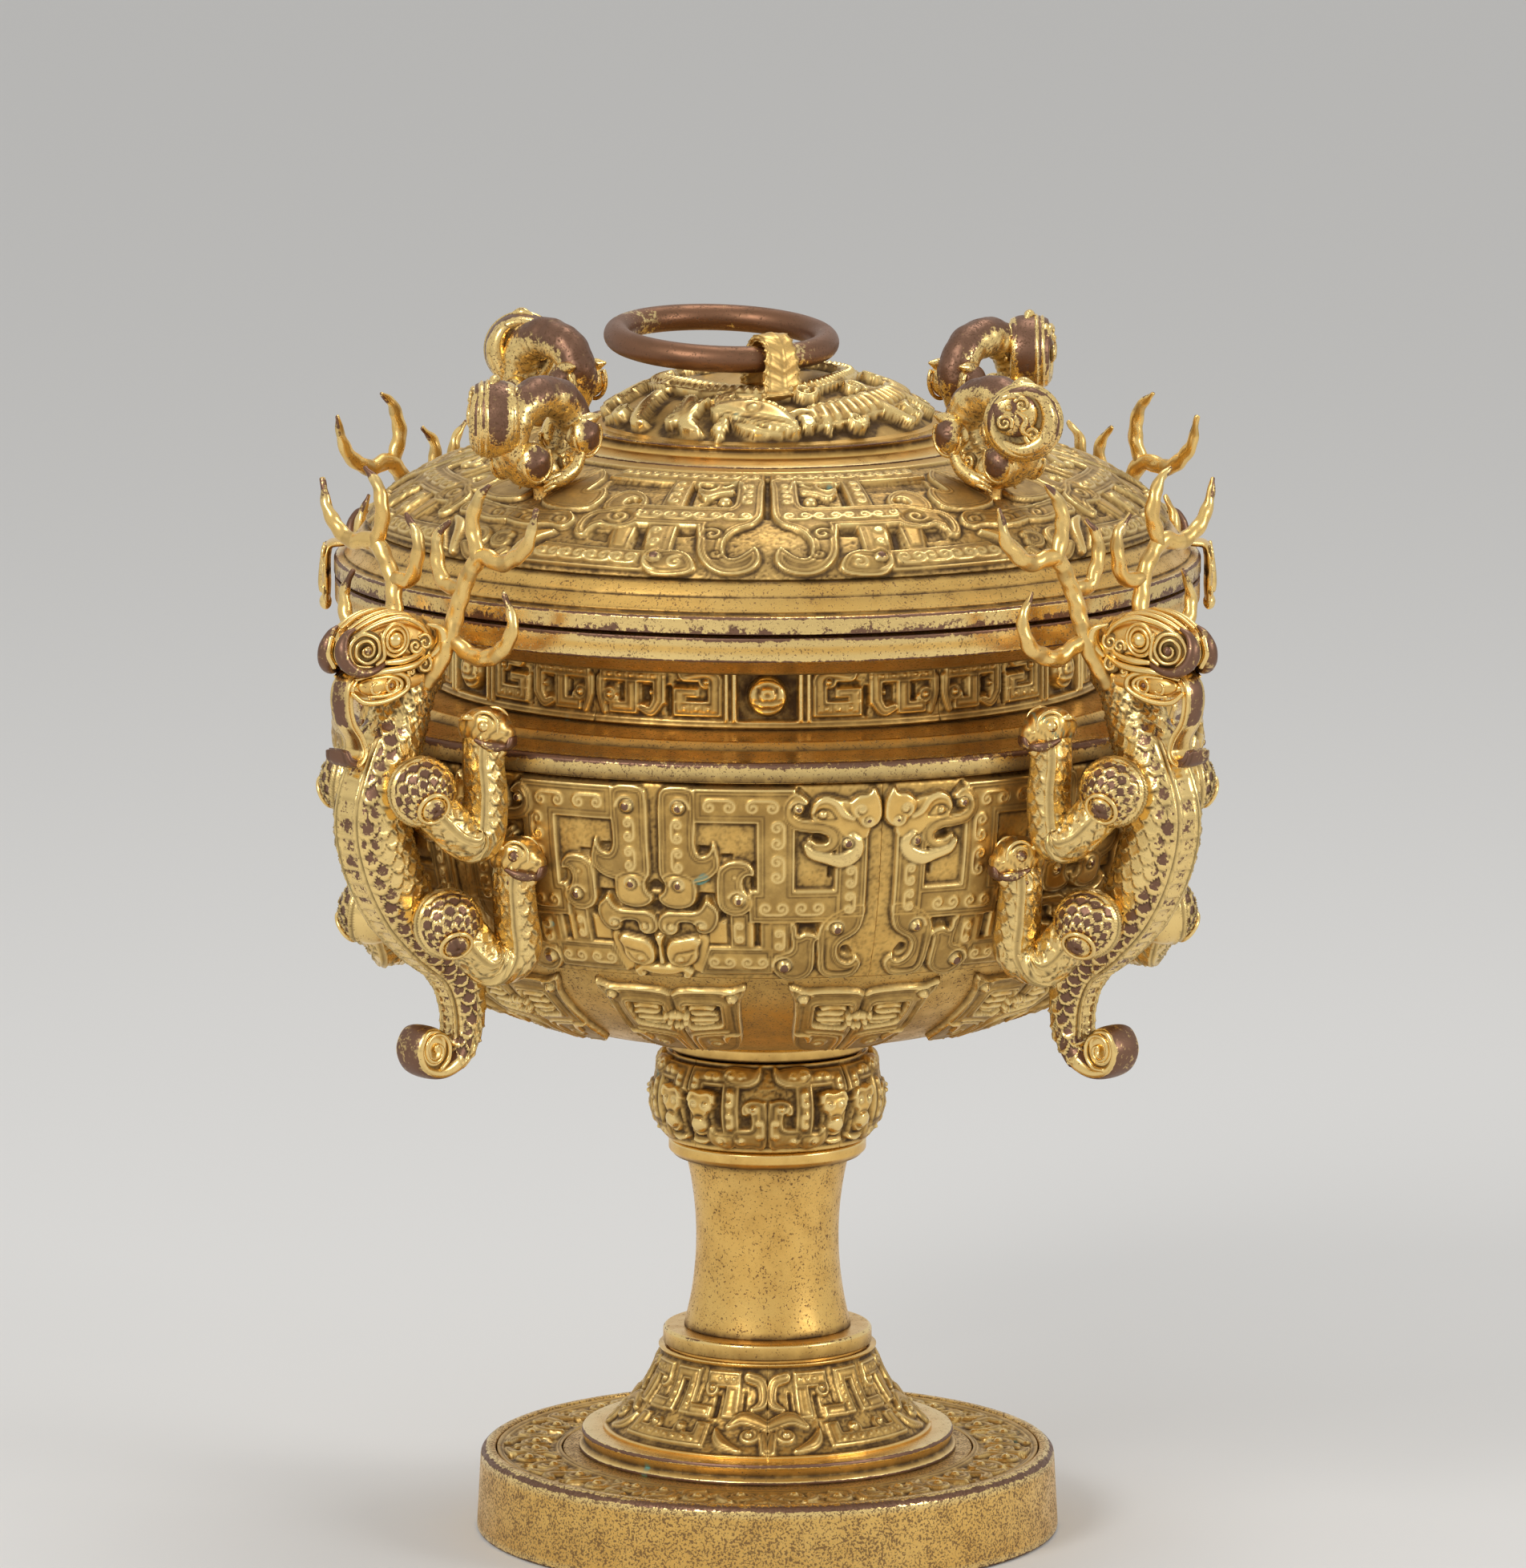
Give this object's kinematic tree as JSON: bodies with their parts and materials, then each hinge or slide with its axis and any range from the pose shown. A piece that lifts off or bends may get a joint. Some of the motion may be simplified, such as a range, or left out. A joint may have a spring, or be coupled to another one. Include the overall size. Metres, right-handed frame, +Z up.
{
  "type": "covered stem cup",
  "caption": "Covered ritual stem cup: deep bowl on a spool stem and disc foot, dragon handles with antlers, domed lid with coiled-beast knobs and a loose ring.",
  "frame": {"origin": "centre of the foot's resting face", "axes": "+Z up along the stem; -Y faces the viewer, with two dragon handles at the front"},
  "size_m": [0.2152, 0.211, 0.2944],
  "materials": {
    "gilt_bronze": "worn fire gilding",
    "dusky_gilt": "dusty worn gilding",
    "bare_bronze": "brown ungilt bronze"
  },
  "bodies": {
    "root": {"foot_plate": "gilt_bronze", "foot_openwork_ring": "gilt_bronze", "foot_flange": "gilt_bronze", "foot_cone": "gilt_bronze", "lower_collar": "gilt_bronze", "stem_column": "gilt_bronze", "upper_collar": "gilt_bronze", "stem_knop": "gilt_bronze", "bowl_seat_ring": "gilt_bronze", "bowl": "gilt_bronze", "shoulder_ring": "gilt_bronze", "neck_frieze": "gilt_bronze", "mouth_ring": "gilt_bronze", "dragon_front_right": "gilt_bronze", "antler_front_right_left": "gilt_bronze", "leg_front_right_upper_left": "gilt_bronze", "leg_front_right_lower_left": "gilt_bronze", "antler_front_right_right": "gilt_bronze", "leg_front_right_upper_right": "gilt_bronze", "leg_front_right_lower_right": "gilt_bronze", "dragon_back_right": "gilt_bronze", "antler_back_right_left": "gilt_bronze", "leg_back_right_upper_left": "gilt_bronze", "leg_back_right_lower_left": "gilt_bronze", "antler_back_right_right": "gilt_bronze", "leg_back_right_upper_right": "gilt_bronze", "leg_back_right_lower_right": "gilt_bronze", "dragon_back_left": "gilt_bronze", "antler_back_left_left": "gilt_bronze", "leg_back_left_upper_left": "gilt_bronze", "leg_back_left_lower_left": "gilt_bronze", "antler_back_left_right": "gilt_bronze", "leg_back_left_upper_right": "gilt_bronze", "leg_back_left_lower_right": "gilt_bronze", "dragon_front_left": "gilt_bronze", "antler_front_left_left": "gilt_bronze", "leg_front_left_upper_left": "gilt_bronze", "leg_front_left_lower_left": "gilt_bronze", "antler_front_left_right": "gilt_bronze", "leg_front_left_upper_right": "gilt_bronze", "leg_front_left_lower_right": "gilt_bronze"},
    "lid": {"lid_rim": "gilt_bronze", "lid_dome": "dusky_gilt", "lid_crown_ring": "gilt_bronze", "lid_medallion": "dusky_gilt", "ring_strap": "dusky_gilt", "clasp_left": "gilt_bronze", "clasp_right": "gilt_bronze", "knob_front_right": "gilt_bronze", "knob_back_right": "gilt_bronze", "knob_back_left": "gilt_bronze", "knob_front_left": "gilt_bronze"},
    "ring": {"carrying_ring": "bare_bronze"}
  },
  "joints": [
    {"name": "lid_lift", "type": "slide", "parent": "root", "child": "lid", "axis": [0, 0, 1], "range_m": [0, 0.12]},
    {"name": "ring_swing", "type": "hinge", "parent": "lid", "child": "ring", "pos_m": [0.0009, -0.018, 0.28713], "axis": [0.8788, 0.4772, 0], "range_deg": [0, 195]}
  ]
}
